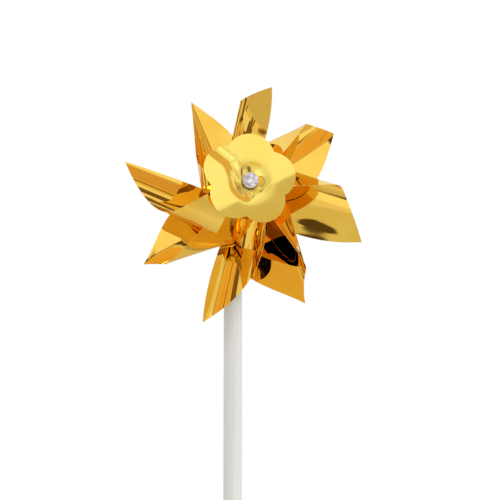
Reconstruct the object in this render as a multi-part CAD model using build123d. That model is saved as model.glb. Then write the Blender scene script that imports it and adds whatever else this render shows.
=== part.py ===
from build123d import *
import math
import os

# Hand-held pinwheel: two square foil sheets, each cut into four blades whose loose corners are
# curled over to the front and threaded on a plastic pin, with a foil flower under the pin's head.
# Millimetres. Origin at the centre of the stick's bottom end, +Z up the stick, wheel facing -Y.

# driving dimensions
stickLength = 300.0
stickOuterR = 4.0
stickWall = 0.8
pinZone = 20.0  # top stretch of the stick, drawn in where it is punched for the pin
pinZoneStep = 0.3  # how much smaller its radius is
axleDrop = 10.0  # from the stick's top down to the pin

shankR = 1.1
headR = 3.5
headHeight = 2.6
neckR = 2.0
neckLength = 0.8
capR = 3.2
capLength = 4.0
capCover = 1.0  # solid end of the cap beyond the shank

beadR = 3.0
beadLength = 5.0

foilThick = 0.2
frontHubR = 7.0
rearHubR = 9.0
hubThick = 0.4  # the hub is a thicker disc that the blades' roots are let into
rootDepth = 1.0
frontReach = 58.0  # axis to blade tip, front sheet
rearReach = 54.0  # axis to blade tip, rear sheet
rearLead = 39.5  # degrees that the rear sheet is turned from the front sheet
frontTip = 75.5  # degrees, direction of the front sheet's first tip
bladeCount = 4
curlHalfWidth = 19.0  # sideways reach of a blade's curl from its tip line
lowestCorner = 25.0  # height of the first threaded corner above the hubs
cornerStep = 0.45  # height from one threaded corner to the next
tabReach = 5.5  # foil beyond the pin at a threaded corner
tabHalfWidth = 2.6
cutBulge = 8.0  # how far a blade's cut edge bows out
rootStart = -6.0  # degrees, a blade's root on the hub, from its tip direction
rootEnd = 14.0
rearLift = 1.1  # how far the rear blades rise forward between the front ones as they leave their hub
liftRamp = 0.9  # how quickly they rise

tubeWall = 0.9
flowerR = 20.0
flowerLobes = 5
lobeR = 10.5
flowerThick = 0.3
flowerTurn = 86.0  # degrees, direction of the first lobe

# clearances
runGap = 0.3  # between faces that turn past each other
runFit = 0.1  # radial, the spacer tube turning on the pin
holeGap = 0.3  # radial, foil holes round the pin
restGap = 0.15  # between foil faces that lie on each other

# places worked out from the sizes above
axleZ = stickLength - axleDrop
pinZoneR = stickOuterR - pinZoneStep
stickFront = pinZoneR + runGap  # distances forward of the stick's axis
beadFront = stickFront + beadLength
hubSkirt = (hubThick - foilThick) / 2
rearHub = beadFront + runGap + hubSkirt
frontHub = rearHub + hubThick + restGap
hubTop = frontHub + foilThick + hubSkirt
curlBase = frontHub  # where the threaded corners' heights are counted from
cornerTotal = 2 * bladeCount
topCorner = lowestCorner + (cornerTotal - 1) * cornerStep
flowerBack = curlBase + topCorner + foilThick + restGap
flowerFront = flowerBack + flowerThick
headBack = flowerFront + runGap
boreR = shankR + runFit
holeR = shankR + holeGap
tubeR = boreR + tubeWall
gridAlong = 12
gridAcross = 22
gridCrowd = 1.6  # crowds the face's points towards the root, where the blade steps forward


def forward(distance):
    """Plane across the pin at a distance in front of the stick's axis, seen from the front."""
    return Plane(origin=(0, -distance, axleZ), x_dir=(1, 0, 0), z_dir=(0, -1, 0))


def disc(radius, start, length):
    """Round bar about the pin's axis from start to start + length, forward of the stick's axis."""
    base = Cylinder(radius, length, align=(Align.CENTER, Align.CENTER, Align.MIN))
    return forward(start) * base


def bowed(start, end, bow, share):
    """Point on a parabola from start to end that bows to its right by bow at mid-length."""
    dx = end[0] - start[0]
    dy = end[1] - start[1]
    span = math.hypot(dx, dy)
    lift = 4 * bow * share * (1 - share) / span
    return (start[0] + dx * share + dy * lift, start[1] + dy * share - dx * lift)


def flatPoint(sheet, along, across):
    """Point of the flat, uncurled blade: along runs root to rim, across runs cut edge to slit."""
    rootR = sheet["hubR"] - rootDepth
    tip = (sheet["reach"], 0.0)
    corner = (-tabHalfWidth, sheet["reach"] + tabReach)
    rootA = polar(rootR, rootStart)
    rootB = polar(rootR, rootEnd)
    cut = bowed(rootA, tip, cutBulge, along)
    slit = bowed(rootB, corner, cutBulge, along)
    rim = bowed(tip, corner, 0.0, across)
    root = polar(rootR, rootStart + (rootEnd - rootStart) * across)
    point = []
    for axis in (0, 1):
        sides = cut[axis] * (1 - across) + slit[axis] * across
        ends = root[axis] * (1 - along) + rim[axis] * along
        low = rootA[axis] * (1 - across) + rootB[axis] * across
        high = tip[axis] * (1 - across) + corner[axis] * across
        point.append(sides + ends - low * (1 - along) - high * along)
    return point


def polar(radius, degrees):
    """Flat point at a radius and direction."""
    angle = math.radians(degrees)
    return (radius * math.cos(angle), radius * math.sin(angle))


def curled(reach, height, u, v):
    """Curl the flat point: half an ellipse across the blade brings its corner over the hub."""
    turn = math.pi * v / reach
    stretch = math.pi * curlHalfWidth / reach
    if v < 0:
        return (u, v * stretch, 0.0)
    if v > reach:
        return (u, (reach - v) * stretch, height)
    return (u, curlHalfWidth * math.sin(turn), height / 2 * (1 - math.cos(turn)))


def lifted(sheet, x, y):
    """How far forward a blade has risen at a flat point outside its root."""
    beyond = max(math.hypot(x, y) - sheet["hubR"] + rootDepth, 0.0)
    return sheet["lift"] * (1 - math.exp(-beyond / liftRamp))


def bladeSkin(sheet, height, tipAngle):
    """Smooth face through the curled blade's points, in the model's own frame."""
    angle = math.radians(tipAngle)
    rows = []
    for i in range(gridAlong + 1):
        row = []
        for j in range(gridAcross + 1):
            u, v = flatPoint(sheet, (i / gridAlong) ** gridCrowd, j / gridAcross)
            x, y, z = curled(sheet["reach"], height, u, v)
            z += lifted(sheet, u, v) * (1 - z / height)
            turnedX = x * math.cos(angle) - y * math.sin(angle)
            turnedY = x * math.sin(angle) + y * math.cos(angle)
            row.append((turnedX, -(sheet["base"] + z), axleZ + turnedY))
        rows.append(row)
    return Face.make_surface_from_array_of_points(rows, tol=0.02)


def foilSheet(sheet):
    """A foil sheet: its hub and four blades, bored where the pin goes through."""
    hub = disc(sheet["hubR"], sheet["base"] - hubSkirt, hubThick)
    blades = []
    for k in range(bladeCount):
        corner = curlBase + lowestCorner + (sheet["firstCorner"] + 2 * k) * cornerStep
        skin = bladeSkin(sheet, corner - sheet["base"], sheet["tip"] + k * 360 / bladeCount)
        blades.append(Solid.thicken(skin, foilThick))
    return hub + blades - disc(holeR, sheet["base"] - runGap, topCorner + 1)


def flower():
    """Five-lobed foil flower under the pin's head."""
    centreR = flowerR - lobeR
    plate = disc(centreR, flowerBack, flowerThick)
    for k in range(flowerLobes):
        x, y = polar(centreR, flowerTurn + k * 360 / flowerLobes)
        plate += Pos(x, 0, y) * disc(lobeR, flowerBack, flowerThick)
    return plate - disc(holeR, flowerBack, flowerThick)


def stickTube():
    """Hollow plastic stick with a cross hole for the pin."""
    upright = (Align.CENTER, Align.CENTER, Align.MIN)
    tube = Cylinder(stickOuterR, stickLength - pinZone, align=upright)
    tube += Pos(0, 0, stickLength - pinZone) * Cylinder(pinZoneR, pinZone, align=upright)
    tube -= Cylinder(stickOuterR - stickWall, stickLength, align=upright)
    return tube - disc(shankR, -stickOuterR, 2 * stickOuterR)


def axlePin():
    """Shank, neck and domed head in one piece."""
    shankBack = -(pinZoneR + capLength - capCover)
    pin = disc(shankR, shankBack, headBack - shankBack)
    pin += disc(neckR, headBack, neckLength)
    head = disc(headR, headBack + neckLength, headHeight)
    rim = head.edges().filter_by(GeomType.CIRCLE).sort_by(Axis.Y)[0]
    return pin + fillet(rim, headHeight * 0.55)


def rearCap():
    """Push-on cap that grips the shank behind the stick."""
    cap = disc(capR, -(pinZoneR + capLength), capLength)
    return cap - disc(shankR, -(pinZoneR + capLength - capCover), capLength)


def bead():
    """Loose bead that keeps the wheel off the stick."""
    return disc(beadR, stickFront, beadLength) - disc(boreR, stickFront, beadLength)


def spacerTube():
    """Tube on the pin that holds the threaded corners off the hubs."""
    start = hubTop
    length = curlBase + lowestCorner - foilThick - restGap - start
    return disc(tubeR, start, length) - disc(boreR, start, length)


rearSheet = {
    "reach": rearReach,
    "hubR": rearHubR,
    "base": rearHub,
    "tip": frontTip - rearLead,
    "firstCorner": 0,
    "lift": rearLift,
}
frontSheet = {
    "reach": frontReach,
    "hubR": frontHubR,
    "base": frontHub,
    "tip": frontTip,
    "firstCorner": 1,
    "lift": 0.0,
}
pieces = {
    "stick_tube": stickTube(),
    "axle_pin": axlePin(),
    "rear_cap": rearCap(),
    "rear_bead": bead(),
    "rear_foil_sheet": foilSheet(rearSheet),
    "front_foil_sheet": foilSheet(frontSheet),
    "spacer_tube": spacerTube(),
    "foil_flower": flower(),
}
os.makedirs("parts", exist_ok=True)
for name, piece in pieces.items():
    export_step(piece, f"parts/{name}.step")
    print(name, len(piece.solids()), round(piece.volume, 1), piece.is_valid)
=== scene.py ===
import bisect
import math
import bpy
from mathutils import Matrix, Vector


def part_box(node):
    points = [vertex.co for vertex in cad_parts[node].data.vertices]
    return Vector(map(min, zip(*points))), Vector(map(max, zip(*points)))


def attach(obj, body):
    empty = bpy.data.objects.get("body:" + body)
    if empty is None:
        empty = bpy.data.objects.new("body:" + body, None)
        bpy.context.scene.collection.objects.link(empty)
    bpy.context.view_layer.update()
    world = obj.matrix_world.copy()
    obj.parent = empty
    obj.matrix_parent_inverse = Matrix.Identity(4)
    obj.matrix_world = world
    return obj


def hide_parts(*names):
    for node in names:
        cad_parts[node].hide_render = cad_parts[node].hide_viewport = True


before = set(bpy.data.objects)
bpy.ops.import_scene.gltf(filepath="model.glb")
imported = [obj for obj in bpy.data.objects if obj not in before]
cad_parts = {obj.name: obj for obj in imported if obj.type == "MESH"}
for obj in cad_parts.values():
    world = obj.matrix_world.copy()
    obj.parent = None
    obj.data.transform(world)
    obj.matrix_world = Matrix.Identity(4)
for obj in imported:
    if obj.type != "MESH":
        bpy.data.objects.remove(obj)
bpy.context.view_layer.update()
mm = 0.001

# where the wheel sits, read from the frame
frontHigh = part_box("front_foil_sheet")[1]
pinLow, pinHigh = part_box("axle_pin")
flowerLow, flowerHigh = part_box("foil_flower")
axleZ = (pinLow.z + pinHigh.z) / 2


def deselectAll():
    bpy.ops.object.select_all(action="DESELECT")
    bpy.context.view_layer.objects.active = None


def takeActive(name):
    piece = bpy.context.active_object
    piece.name = name
    piece.data.name = name
    return piece


def newMaterial(name, look):
    material = bpy.data.materials.new(name)
    material.use_nodes = True
    shader = material.node_tree.nodes["Principled BSDF"]
    for socket, value in look.items():
        shader.inputs[socket].default_value = value
    return material, material.node_tree, shader


def noiseOver(tree, coordinate, stretch, scale, detail=3.0):
    # noise on a stretched coordinate
    place = tree.nodes.new("ShaderNodeTexCoord")
    mapping = tree.nodes.new("ShaderNodeMapping")
    mapping.inputs["Scale"].default_value = stretch
    noise = tree.nodes.new("ShaderNodeTexNoise")
    noise.inputs["Scale"].default_value = scale
    noise.inputs["Detail"].default_value = detail
    tree.links.new(place.outputs[coordinate], mapping.inputs["Vector"])
    tree.links.new(mapping.outputs["Vector"], noise.inputs["Vector"])
    return noise


def rampOf(tree, source, stops):
    ramp = tree.nodes.new("ShaderNodeValToRGB")
    while len(ramp.color_ramp.elements) < len(stops):
        ramp.color_ramp.elements.new(0.5)
    for element, (spot, colour) in zip(ramp.color_ramp.elements, stops):
        element.position = spot
        element.color = (*colour, 1.0)
    tree.links.new(source, ramp.inputs["Fac"])
    return ramp


def bumpOf(tree, shader, source, strength, distance):
    bump = tree.nodes.new("ShaderNodeBump")
    bump.inputs["Strength"].default_value = strength
    bump.inputs["Distance"].default_value = distance
    tree.links.new(source, bump.inputs["Height"])
    tree.links.new(bump.outputs["Normal"], shader.inputs["Normal"])
    return bump


foilLook = {
    "deep": (0.88, 0.52, 0.07),
    "pale": (0.96, 0.66, 0.13),
    "polish": (0.012, 0.045),
    "ripple": 0.03,
}


def goldFoil():
    material, tree, shader = newMaterial("goldMirrorFoil", {"Metallic": 1.0})
    tone = noiseOver(tree, "Object", (1, 1, 1), 38.0)
    colour = rampOf(tree, tone.outputs["Fac"], [(0.3, foilLook["deep"]), (0.7, foilLook["pale"])])
    tree.links.new(colour.outputs["Color"], shader.inputs["Base Color"])
    smear = noiseOver(tree, "Object", (1, 1, 1), 160.0)
    low, high = foilLook["polish"]
    polish = rampOf(tree, smear.outputs["Fac"], [(0.35, (low,) * 3), (0.75, (high,) * 3)])
    tree.links.new(polish.outputs["Color"], shader.inputs["Roughness"])
    ripple = noiseOver(tree, "UV", (0.7, 7.0, 1.0), 1.0, 1.0)  # long ripples along the curl
    bumpOf(tree, shader, ripple.outputs["Fac"], foilLook["ripple"], 0.0012)
    return material


def flowerFoil():
    material, tree, shader = newMaterial("paleFlowerFoil", {"Metallic": 1.0})
    tone = noiseOver(tree, "Object", (1, 1, 1), 60.0)
    colour = rampOf(tree, tone.outputs["Fac"], [(0.3, (0.97, 0.76, 0.16)), (0.7, (1.0, 0.81, 0.21))])
    tree.links.new(colour.outputs["Color"], shader.inputs["Base Color"])
    smear = noiseOver(tree, "Object", (1, 1, 1), 220.0)
    polish = rampOf(tree, smear.outputs["Fac"], [(0.3, (0.07,) * 3), (0.8, (0.13,) * 3)])
    tree.links.new(polish.outputs["Color"], shader.inputs["Roughness"])
    grain = noiseOver(tree, "Object", (1, 1, 1), 900.0)
    bumpOf(tree, shader, grain.outputs["Fac"], 0.05, 0.0002)
    return material


def mouldedPlastic(name, deep, pale, roughness, stretch, scale):
    look = {"Roughness": roughness, "Specular IOR Level": 0.5, "Subsurface Weight": 0.15,
            "Subsurface Scale": 0.002}
    material, tree, shader = newMaterial(name, look)
    tone = noiseOver(tree, "Object", stretch, scale)
    colour = rampOf(tree, tone.outputs["Fac"], [(0.3, deep), (0.7, pale)])
    tree.links.new(colour.outputs["Color"], shader.inputs["Base Color"])
    bumpOf(tree, shader, tone.outputs["Fac"], 0.12, 0.0003)
    return material


gold = goldFoil()
paleGold = flowerFoil()
stickPlastic = mouldedPlastic("stickPlastic", (0.66, 0.70, 0.74), (0.72, 0.76, 0.80), 0.35,
                              (90, 90, 2), 6.0)
pinPlastic = mouldedPlastic("pinPlastic", (0.30, 0.29, 0.36), (0.86, 0.83, 0.93), 0.12, (1, 1, 1), 620.0)
beadPlastic = mouldedPlastic("beadPlastic", (0.74, 0.74, 0.72), (0.84, 0.84, 0.82), 0.3, (1, 1, 1), 400.0)
print("materials made")

# one entry per blade: direction of the tip, and how this blade has curled (millimetres, degrees)
# out and back are how far the curl swings out and how far it stays out on its way back, tuck is the
# height at which it turns back as a share of the corner's height
frontBlades = [
    {"tip": 75.5, "reach": 53.5, "out": 19.5, "back": 3.5, "tuck": -0.6, "taper": -0.45,
     "cutBow": 4.5, "rimBow": -4.5, "lean": 12.0, "skew": 0.0},
    {"tip": 162.5, "reach": 53.0, "out": 21.0, "back": 36.5, "tuck": 1.0, "taper": 0.1,
     "cutBow": 0.5, "rimBow": -5.0, "lean": 1.0, "skew": -4.5},
    {"tip": 255.0, "reach": 57.0, "out": 18.5, "back": 20.0, "tuck": 1.3, "taper": -0.4,
     "cutBow": 2.5, "rimBow": 0.5, "lean": -3.0, "skew": -3.0},
    {"tip": 344.0, "reach": 57.5, "out": 32.5, "back": 23.0, "tuck": 0.2, "taper": 0.0,
     "cutBow": 5.0, "rimBow": -4.0, "lean": 4.5, "skew": 2.0},
]
rearBlades = [
    {"tip": 38.0, "reach": 53.5, "out": 28.0, "back": 8.0, "tuck": 0.1, "taper": 0.7,
     "cutBow": 18.5, "rimBow": -5.0, "lean": 8.5, "skew": 6.5},
    {"tip": 114.5, "reach": 51.0, "out": 13.5, "back": 26.5, "tuck": 1.3, "taper": 0.95,
     "cutBow": 14.0, "rimBow": 0.5, "lean": 0.5, "skew": -4.5},
    {"tip": 215.5, "reach": 50.0, "out": 21.5, "back": 8.0, "tuck": 0.05, "taper": 1.2,
     "cutBow": 18.0, "rimBow": -5.0, "lean": -7.0, "skew": 2.0},
    {"tip": 301.0, "reach": 55.5, "out": 32.0, "back": 8.0, "tuck": 0.0, "taper": 1.1,
     "cutBow": 20.0, "rimBow": -5.0, "lean": 9.0, "skew": -1.5},
]
foil = {
    "thick": 0.14,
    "hubFront": 6.9,  # hub radius, front sheet
    "hubRear": 8.9,
    "rootStart": -6.0,
    "rootEnd": 14.0,
    "slitBow": 8.0,
    "tabReach": 5.0,
    "tabHalf": 2.5,
    "hole": 1.4,
    "lift": 1.1,  # how far the rear blades rise between the front ones
    "liftRamp": 0.9,
    "lowestCorner": 25.0,  # height of the first threaded corner, and the step to the next one
    "cornerStep": 0.45,
    "inset": 0.1,  # from the CAD hub's back face forward to the foil's own plane
    "rootCrowd": 1.3,  # crowds the columns towards the hub, where the blade steps forward
    "hubSides": 96,
    "sectionSteps": 600,
    "columns": 76,
    "rows": 128,
}


def polar(radius, degrees):
    return Vector((radius * math.cos(math.radians(degrees)), radius * math.sin(math.radians(degrees))))


def bowed(start, end, bow, share):
    # a line from start to end that bows to its right
    line = end - start
    side = Vector((line.y, -line.x)) / line.length
    return start + line * share + side * (4 * bow * share * (1 - share))


def flatFoil(blade, rootR, along, across):
    # the blade as it is cut, still flat
    tip = Vector((blade["reach"], 0))
    corner = Vector((-foil["tabHalf"], blade["reach"] + foil["tabReach"]))
    rootA = polar(rootR, foil["rootStart"])
    rootB = polar(rootR, foil["rootEnd"])
    cut = bowed(rootA, tip, blade["cutBow"], along)
    slit = bowed(rootB, corner, foil["slitBow"], along)
    rim = bowed(tip, corner, -blade["rimBow"], across)
    root = polar(rootR, foil["rootStart"] + (foil["rootEnd"] - foil["rootStart"]) * across)
    sides = cut * (1 - across) + slit * across
    ends = root * (1 - along) + rim * along
    low = rootA * (1 - across) + rootB * across
    high = tip * (1 - across) + corner * across
    return sides + ends - low * (1 - along) - high * along


def curlSection(blade, height):
    # across the blade: out flat from the hub, round the curl and back to the pin, at even steps of length
    steps = foil["sectionSteps"]
    points = []
    for k in range(steps + 1):
        q = k / steps
        out = 3 * q * (1 - q) ** 2 * blade["out"] + 3 * q * q * (1 - q) * blade["back"]
        rise = (3 * q * q * (1 - q) * blade["tuck"] + q ** 3) * height
        points.append(Vector((out, rise)))
    lengths = [0.0]
    for a, b in zip(points, points[1:]):
        lengths.append(lengths[-1] + (b - a).length)
    return points, lengths


def alongSection(section, share):
    points, lengths = section
    wanted = share * lengths[-1]
    k = min(max(bisect.bisect_left(lengths, wanted), 1), len(points) - 1)
    part = (wanted - lengths[k - 1]) / (lengths[k] - lengths[k - 1])
    return points[k - 1].lerp(points[k], part)


def curledFoil(blade, height, section, flat):
    widen = 1 + blade["taper"] * (0.4 - flat.x / blade["reach"])
    share = flat.y / blade["reach"]
    lean = blade["lean"] * (max(flat.x, 0) / blade["reach"]) ** 2
    length = section[1][-1]
    if share < 0:
        return Vector((flat.x, share * length * widen, lean))
    if share > 1:
        return Vector((flat.x, (1 - share) * length, height))
    spot = alongSection(section, share)
    drift = blade["skew"] * math.sin(math.pi * share)
    return Vector((flat.x + drift, spot.x * widen, spot.y + lean))


def foilBlade(name, blade, rootR, lift, base, corner):
    deselectAll()
    bpy.ops.mesh.primitive_grid_add(x_subdivisions=foil["columns"], y_subdivisions=foil["rows"], size=1)
    piece = takeActive(name)
    height = corner - base
    section = curlSection(blade, height)
    for vertex in piece.data.vertices:
        flat = flatFoil(blade, rootR, (vertex.co.x + 0.5) ** foil["rootCrowd"], vertex.co.y + 0.5)
        spot = curledFoil(blade, height, section, flat)
        beyond = max(flat.length - rootR, 0.0)
        spot.z += lift * (1 - math.exp(-beyond / foil["liftRamp"])) * (1 - spot.z / height)
        turn = math.radians(blade["tip"])
        x = spot.x * math.cos(turn) - spot.y * math.sin(turn)
        y = spot.x * math.sin(turn) + spot.y * math.cos(turn)
        vertex.co = (x * mm, -(base + spot.z) * mm, axleZ + y * mm)
    return piece


def foilHub(name, radius, base):
    deselectAll()
    bpy.ops.mesh.primitive_circle_add(vertices=foil["hubSides"], radius=radius * mm, fill_type="NGON",
                                      location=(0, -base * mm, axleZ), rotation=(math.pi / 2, 0, 0))
    piece = takeActive(name)
    bpy.ops.object.transform_apply(location=True, rotation=True, scale=True)
    bpy.ops.object.mode_set(mode="EDIT")
    bpy.ops.mesh.select_all(action="SELECT")
    bpy.ops.mesh.inset(thickness=(radius - foil["hole"]) * mm, depth=0)
    bpy.ops.mesh.delete(type="FACE")
    bpy.ops.object.mode_set(mode="OBJECT")
    return piece


def foilSheet(name, node, blades, hubR, lift, firstCorner):
    base = -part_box(node)[1].y / mm + foil["inset"]
    cornerBase = -frontHigh.y / mm + foil["inset"]
    parts = [foilHub(name, hubR, base)]
    for order, blade in enumerate(blades):
        corner = cornerBase + foil["lowestCorner"] + (firstCorner + 2 * order) * foil["cornerStep"]
        parts.append(foilBlade(name + "Blade", blade, hubR - 1, lift, base, corner))
    deselectAll()
    for part in parts:
        part.select_set(True)
    bpy.context.view_layer.objects.active = parts[0]
    bpy.ops.object.join()
    piece = parts[0]
    wall = piece.modifiers.new("wall", "SOLIDIFY")
    wall.thickness = foil["thick"] * mm
    wall.offset = 0
    bpy.ops.object.modifier_apply(modifier="wall")
    bpy.ops.object.shade_smooth_by_angle(angle=math.radians(35))
    piece.data.materials.append(gold)
    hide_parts(node)
    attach(piece, "wheel")
    print(name, "made")


foilSheet("rearFoilSheet", "rear_foil_sheet", rearBlades, foil["hubRear"], foil["lift"], 0)
foilSheet("frontFoilSheet", "front_foil_sheet", frontBlades, foil["hubFront"], 0.0, 1)

flower = {
    "lobes": 5,
    "firstLobe": 86.0,
    "centre": 10.2,  # lobe centres from the middle
    "lobe": 10.7,
    "shift": (-0.4, 0.9),  # the middle, off the axis
    "hole": 1.4,
    "crease": [(-15.0, 13.0), (-9.0, 8.5), (-6.0, 2.5), (-4.5, -3.0), (-1.5, -6.5)],
    "fold": 0.55,
    "foldWidth": 2.2,
    "dish": 1.5,
    "bend": 0.1,
    "bendFrom": 5.5,
    "thick": 0.18,
    "rings": 44,
    "spokes": 180,
}


def flowerReach(degrees):
    step = 360 / flower["lobes"]
    away = math.radians((degrees - flower["firstLobe"] + step / 2) % step - step / 2)
    side = flower["centre"] * math.sin(away)
    return flower["centre"] * math.cos(away) + math.sqrt(flower["lobe"] ** 2 - side ** 2)


def fromFold(x, y):
    # distance from the pressed crease that runs past the pin
    nearest = 99.0
    for start, end in zip(flower["crease"], flower["crease"][1:]):
        line = Vector(end) - Vector(start)
        along = min(max((Vector((x, y)) - Vector(start)).dot(line) / line.length_squared, 0.0), 1.0)
        nearest = min(nearest, (Vector((x, y)) - Vector(start) - line * along).length)
    return nearest


def flowerDent(x, y):
    # a dish round the pin, the crease and one side bent back
    out = math.hypot(x, y)
    dish = flower["dish"] * (1 - math.exp(-(out / 5.5) ** 2))
    fold = -flower["fold"] * math.exp(-(fromFold(x, y) / flower["foldWidth"]) ** 2)
    away = 0.5 * x - 0.87 * y - flower["bendFrom"]
    bend = -flower["bend"] * (math.sqrt(away * away + 0.4) + away) / 2
    return dish + fold * (1 - math.exp(-(out / 3.0) ** 2)) + bend


def foilFlower():
    deselectAll()
    bpy.ops.mesh.primitive_grid_add(x_subdivisions=flower["rings"], y_subdivisions=flower["spokes"], size=1)
    piece = takeActive("foilFlower")
    middle = (flowerLow.y + flowerHigh.y) / 2
    for vertex in piece.data.vertices:
        degrees = 360 * (vertex.co.y + 0.5)
        out = flower["hole"] + (flowerReach(degrees) - flower["hole"]) * (vertex.co.x + 0.5)
        x, y = polar(out, degrees) + Vector(flower["shift"]) * (vertex.co.x + 0.5)
        vertex.co = (x * mm, middle - flowerDent(x, y) * mm, axleZ + y * mm)
    bpy.ops.object.mode_set(mode="EDIT")
    bpy.ops.mesh.select_all(action="SELECT")
    bpy.ops.mesh.remove_doubles(threshold=0.00001)
    bpy.ops.object.mode_set(mode="OBJECT")
    wall = piece.modifiers.new("wall", "SOLIDIFY")
    wall.thickness = flower["thick"] * mm
    wall.offset = 0
    bpy.ops.object.modifier_apply(modifier="wall")
    bpy.ops.object.shade_smooth_by_angle(angle=math.radians(35))
    piece.data.materials.append(paleGold)
    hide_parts("foil_flower")
    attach(piece, "wheel")
    print("flower made")


foilFlower()

finishes = {
    "stick_tube": stickPlastic,
    "axle_pin": pinPlastic,
    "rear_cap": pinPlastic,
    "rear_bead": beadPlastic,
    "spacer_tube": beadPlastic,
}
for node, material in finishes.items():
    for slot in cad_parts[node].material_slots:
        slot.material = material
print("plastic finished")

studio = {
    "floorDrop": 0.9,  # the wheel is held up in the air, well above the floor
    "floorSize": 12.0,
    "azimuth": -11.0,
    "elevation": -19.0,
    "distance": 1.5,
    "lens": 245.7,
    "aimRight": 3.75,
    "aimUp": -23.7,
    "gapTint": (0.20, 0.13, 0.08),
}


def studioFloor():
    deselectAll()
    bpy.ops.mesh.primitive_plane_add(size=studio["floorSize"], location=(0, 0, -studio["floorDrop"]))
    floor = takeActive("studioFloor")
    bpy.ops.object.transform_apply(location=True)
    material, tree, shader = newMaterial("floorPaper", {"Roughness": 0.8})
    paper = noiseOver(tree, "Object", (1, 1, 1), 30.0)
    tint = rampOf(tree, paper.outputs["Fac"], [(0.3, (0.86, 0.86, 0.85)), (0.7, (0.9, 0.9, 0.89))])
    tree.links.new(tint.outputs["Color"], shader.inputs["Base Color"])
    floor.data.materials.append(material)


def softLight(name, place, size, power, tint):
    deselectAll()
    bpy.ops.object.light_add(type="AREA", location=place)
    light = takeActive(name)
    light.data.size = size
    light.data.energy = power
    light.data.color = tint
    light.visible_glossy = name == "keyLight"
    aim = Vector((0, 0, axleZ)) - Vector(place)
    light.rotation_euler = aim.to_track_quat("-Z", "Y").to_euler()


# cards hung round the wheel: direction from it (degrees right of straight ahead, and up), half width,
# soft edge, inner radius where the card is a ring, and colour
cards = [
    {"az": 8, "el": 50, "half": 22, "edge": 6, "inner": 0, "tint": (0.80, 0.58, 0.24)},
    {"az": 24, "el": 34, "half": 15, "edge": 3, "inner": 0, "tint": (0.74, 0.46, 0.20)},
    {"az": -30, "el": 18, "half": 21, "edge": 2, "inner": 0, "tint": (0.90, 0.58, 0.22)},
    {"az": -7, "el": 3, "half": 9, "edge": 2, "inner": 0, "tint": (1.12, 1.12, 1.12)},
    {"az": 8, "el": 10, "half": 5, "edge": 2, "inner": 0, "tint": (0.80, 0.60, 0.26)},
    {"az": 19, "el": 7, "half": 8, "edge": 3, "inner": 0, "tint": (0.64, 0.53, 0.35)},
    {"az": -2, "el": 22, "half": 8, "edge": 2, "inner": 0, "tint": (0.74, 0.73, 0.62)},
    {"az": 12, "el": 21, "half": 6, "edge": 3, "inner": 0, "tint": (1.06, 1.02, 0.95)},
    {"az": 70, "el": 33, "half": 24, "edge": 2, "inner": 0, "tint": (0.72, 0.66, 0.52)},
    {"az": 66, "el": 30, "half": 11.5, "edge": 1, "inner": 9, "tint": (0.42, 0.28, 0.14)},
    {"az": 66, "el": 30, "half": 19, "edge": 1, "inner": 16, "tint": (1.0, 0.9, 0.62)},
    {"az": -34, "el": 24, "half": 11, "edge": 1, "inner": 10, "tint": (0.3, 0.16, 0.08)},
    {"az": -30, "el": 18, "half": 22.6, "edge": 0.6, "inner": 20.6, "tint": (0.10, 0.05, 0.03)},
    {"az": -3, "el": -17, "half": 9, "edge": 2, "inner": 0, "tint": (0.92, 0.78, 0.46)},
    {"az": -30, "el": -17, "half": 25.5, "edge": 0.6, "inner": 23.5, "tint": (0.12, 0.06, 0.03)},
    {"az": 42, "el": 1, "half": 17, "edge": 2, "inner": 0, "tint": (0.94, 0.72, 0.36)},
    {"az": 2.2, "el": 24.5, "half": 2.8, "edge": 0.4, "inner": 0, "tint": (0.1, 0.07, 0.05)},
    {"az": 10, "el": 12, "half": 44, "edge": 1, "inner": 41, "tint": (0.14, 0.08, 0.05)},
    {"az": 0, "el": 0, "half": 29, "edge": 1, "inner": 27.5, "tint": (0.2, 0.1, 0.06)},
    {"az": -70, "el": 5, "half": 12, "edge": 2, "inner": 0, "tint": (0.34, 0.19, 0.09)},
    {"az": 62, "el": -18, "half": 12, "edge": 2, "inner": 0, "tint": (0.45, 0.28, 0.13)},
]


def mixColours(tree, share, low, high):
    mix = tree.nodes.new("ShaderNodeMix")
    mix.data_type = "RGBA"
    # inputs 0, 6 and 7 are the share and the two colours
    for socket, source in ((0, share), (6, low), (7, high)):
        if isinstance(source, tuple):
            mix.inputs[socket].default_value = (*source, 1.0)
        else:
            tree.links.new(source, mix.inputs[socket])
    return mix.outputs[2]


def cardMask(tree, place, card):
    turn = math.radians(card["az"])
    rise = math.radians(card["el"])
    facing = tree.nodes.new("ShaderNodeVectorMath")
    facing.operation = "DOT_PRODUCT"
    facing.inputs[1].default_value = (math.sin(turn) * math.cos(rise), -math.cos(turn) * math.cos(rise),
                                      math.sin(rise))
    tree.links.new(place.outputs["Generated"], facing.inputs[0])
    away = tree.nodes.new("ShaderNodeMath")
    away.operation = "ARCCOSINE"
    tree.links.new(facing.outputs["Value"], away.inputs[0])
    share = softStep(tree, away, card["half"], -card["edge"])
    if card["inner"]:
        ring = tree.nodes.new("ShaderNodeMath")
        ring.operation = "MULTIPLY"
        tree.links.new(share, ring.inputs[0])
        tree.links.new(softStep(tree, away, card["inner"], card["edge"]), ring.inputs[1])
        share = ring.outputs["Value"]
    return share


def softStep(tree, source, start, width):
    step = tree.nodes.new("ShaderNodeMapRange")
    step.interpolation_type = "SMOOTHSTEP"
    step.inputs["From Min"].default_value = math.radians(start)
    step.inputs["From Max"].default_value = math.radians(start + width)
    tree.links.new(source.outputs["Value"], step.inputs["Value"])
    return step.outputs["Result"]


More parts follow.
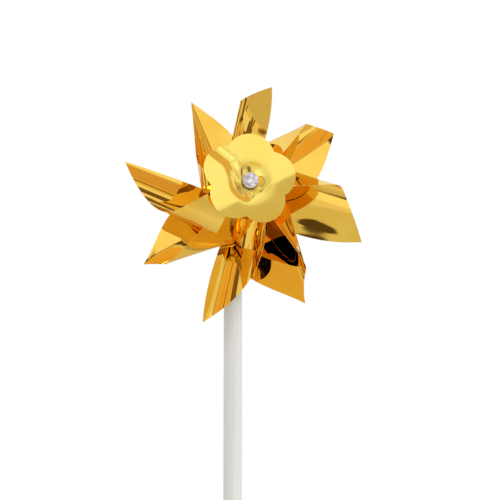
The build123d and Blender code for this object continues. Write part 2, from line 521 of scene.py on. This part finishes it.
def studioWorld():
    # the camera sees plain white, while light and reflections come from a room with dark gaps and the cards
    world = bpy.data.worlds.new("studioWorld")
    bpy.context.scene.world = world
    world.use_nodes = True
    tree = world.node_tree
    room = tree.nodes["Background"]
    place = tree.nodes.new("ShaderNodeTexCoord")
    split = tree.nodes.new("ShaderNodeSeparateXYZ")
    tree.links.new(place.outputs["Generated"], split.inputs["Vector"])
    rise = tree.nodes.new("ShaderNodeMath")
    rise.operation = "MULTIPLY_ADD"
    rise.inputs[1].default_value = 0.5
    rise.inputs[2].default_value = 0.5
    tree.links.new(split.outputs["Z"], rise.inputs[0])
    grade = rampOf(tree, rise.outputs["Value"], [(0.2, (0.3, 0.22, 0.15)), (0.34, (0.78, 0.66, 0.42)),
                                                (0.5, (0.88, 0.84, 0.78)), (0.95, (1.0, 1.0, 1.0))])
    gaps = tree.nodes.new("ShaderNodeTexNoise")
    gaps.inputs["Scale"].default_value = 1.9
    gaps.inputs["Detail"].default_value = 0.6
    stretch = tree.nodes.new("ShaderNodeMapping")
    stretch.inputs["Scale"].default_value = (1.6, 1.6, 0.7)
    tree.links.new(place.outputs["Generated"], stretch.inputs["Vector"])
    tree.links.new(stretch.outputs["Vector"], gaps.inputs["Vector"])
    dark = rampOf(tree, gaps.outputs["Fac"], [(0.4, (0, 0, 0)), (0.41, (1, 1, 1))])
    shade = mixColours(tree, dark.outputs["Color"], studio["gapTint"], grade.outputs["Color"])
    for card in cards:
        shade = mixColours(tree, cardMask(tree, place, card), shade, card["tint"])
    tree.links.new(shade, room.inputs["Color"])
    room.inputs["Strength"].default_value = 1.0
    plain = tree.nodes.new("ShaderNodeBackground")
    plain.inputs["Color"].default_value = (1, 1, 1, 1)
    plain.inputs["Strength"].default_value = 1.0
    path = tree.nodes.new("ShaderNodeLightPath")
    mix = tree.nodes.new("ShaderNodeMixShader")
    tree.links.new(path.outputs["Is Camera Ray"], mix.inputs["Fac"])
    tree.links.new(room.outputs["Background"], mix.inputs[1])
    tree.links.new(plain.outputs["Background"], mix.inputs[2])
    tree.links.new(mix.outputs["Shader"], tree.nodes["World Output"].inputs["Surface"])


def studioCamera():
    turn = math.radians(studio["azimuth"])
    rise = math.radians(studio["elevation"])
    back = Vector((math.sin(turn) * math.cos(rise), -math.cos(turn) * math.cos(rise), math.sin(rise)))
    right = Vector((math.cos(turn), math.sin(turn), 0))
    up = back.cross(right)
    aim = Vector((0, -0.02, axleZ)) + (right * studio["aimRight"] + up * studio["aimUp"]) * mm
    deselectAll()
    bpy.ops.object.camera_add(location=aim + back * studio["distance"])
    camera = takeActive("studioCamera")
    camera.rotation_euler = (-back).to_track_quat("-Z", "Y").to_euler()
    camera.data.lens = studio["lens"]
    camera.data.sensor_width = 36
    camera.data.clip_end = 50
    bpy.context.scene.camera = camera


studioFloor()
studioWorld()
softLight("keyLight", (-1.2, -0.9, 1.9), 0.8, 7, (1.0, 1.0, 1.0))
softLight("fillLight", (1.3, -1.0, 0.5), 0.9, 8, (0.80, 0.90, 1.0))
softLight("lowLight", (0.2, -1.2, -0.6), 0.7, 5, (0.80, 0.90, 1.0))
studioCamera()
bpy.context.scene.view_settings.view_transform = "Standard"
print("studio set")
